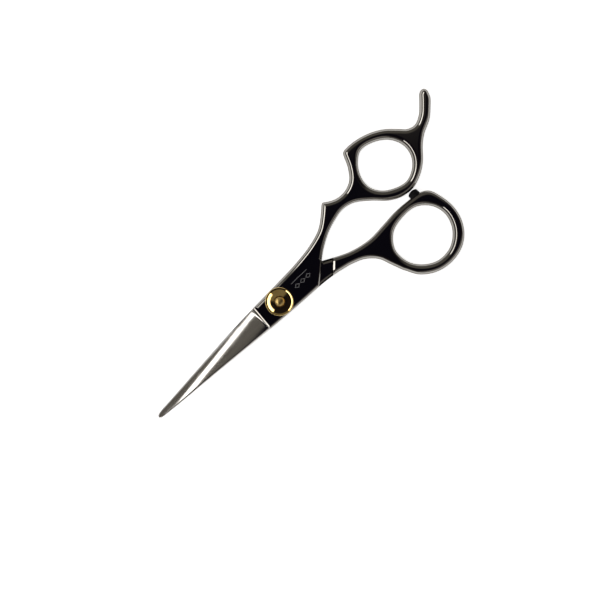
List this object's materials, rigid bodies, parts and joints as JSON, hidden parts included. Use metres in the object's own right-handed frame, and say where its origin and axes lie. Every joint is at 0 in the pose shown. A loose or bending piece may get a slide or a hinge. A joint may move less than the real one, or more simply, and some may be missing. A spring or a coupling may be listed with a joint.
{
  "type": "hair cutting shears",
  "caption": "Offset hair cutting shears with a curved finger rest, a knurled tension dial on the pivot and a rubber bumper between the finger rings.",
  "frame": {"origin": "pivot axis at the resting plane, on the flush face of the pivot stud", "axes": "+X from the pivot to the tips, +Y towards the thumb ring, +Z along the pivot towards the dial"},
  "size_m": [0.1429, 0.053, 0.0083],
  "materials": {
    "finger_steel": "mirror-polished stainless steel, satin on the ground blade",
    "thumb_steel": "mirror-polished stainless steel, satin on the ground blade",
    "stud_steel": "fine turned steel",
    "spring_steel": "tempered spring steel",
    "bearing_plastic": "natural acetal",
    "dial_gold": "polished gold plate with a knurled edge",
    "screw_gold": "polished gold plate, domed",
    "bumper_rubber": "moulded black rubber"
  },
  "bodies": {
    "finger_half": {"finger_blade": "finger_steel", "pivot_stud": "stud_steel", "blade_washer": "bearing_plastic", "click_plate": "stud_steel", "wave_spring": "spring_steel", "retaining_screw": "screw_gold"},
    "thumb_half": {"thumb_blade": "thumb_steel", "pivot_bushing": "bearing_plastic", "bumper": "bumper_rubber", "bumper_stud": "stud_steel"},
    "dial": {"adjuster_dial": "dial_gold"}
  },
  "joints": [
    {"name": "blade_pivot", "type": "hinge", "parent": "finger_half", "child": "thumb_half", "pos_m": [0, 0, 0.00268], "axis": [0, 0, -1], "range_deg": [0, 144]},
    {"name": "dial_turn", "type": "hinge", "parent": "finger_half", "child": "dial", "pos_m": [0, 0, 0.0064], "axis": [0, 0, 1], "range_deg": [-180, 180]}
  ]
}
